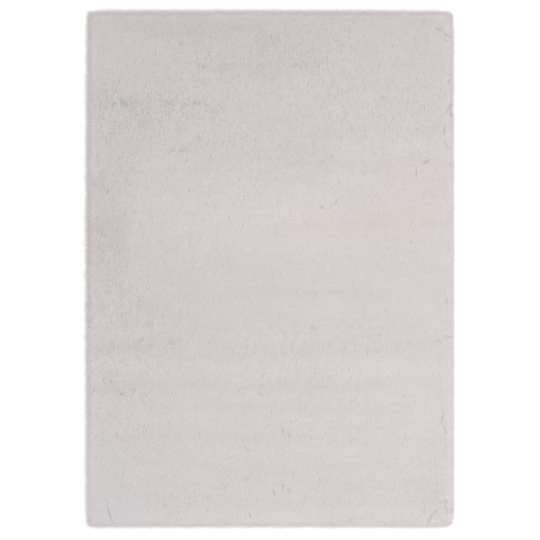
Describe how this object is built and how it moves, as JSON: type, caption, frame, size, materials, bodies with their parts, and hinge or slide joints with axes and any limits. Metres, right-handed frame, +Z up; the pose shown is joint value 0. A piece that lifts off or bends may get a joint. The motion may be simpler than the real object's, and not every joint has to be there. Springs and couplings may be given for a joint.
{
  "type": "faux fur rug",
  "caption": "Flat rectangular rug of dense, short, pale greige faux fur plush with rounded corners and soft locks of pile round its rim.",
  "frame": {"origin": "on the floor, at the middle of the rug's underside", "axes": "+X across the rug, +Y along it, +Z up out of the pile"},
  "size_m": [1.201, 1.6833, 0.0215],
  "materials": {
    "plush": "dense short faux fur pile, soft and matt with a faint sheen along the nap"
  },
  "bodies": {
    "root": {"fur_rug": "plush"}
  },
  "joints": []
}
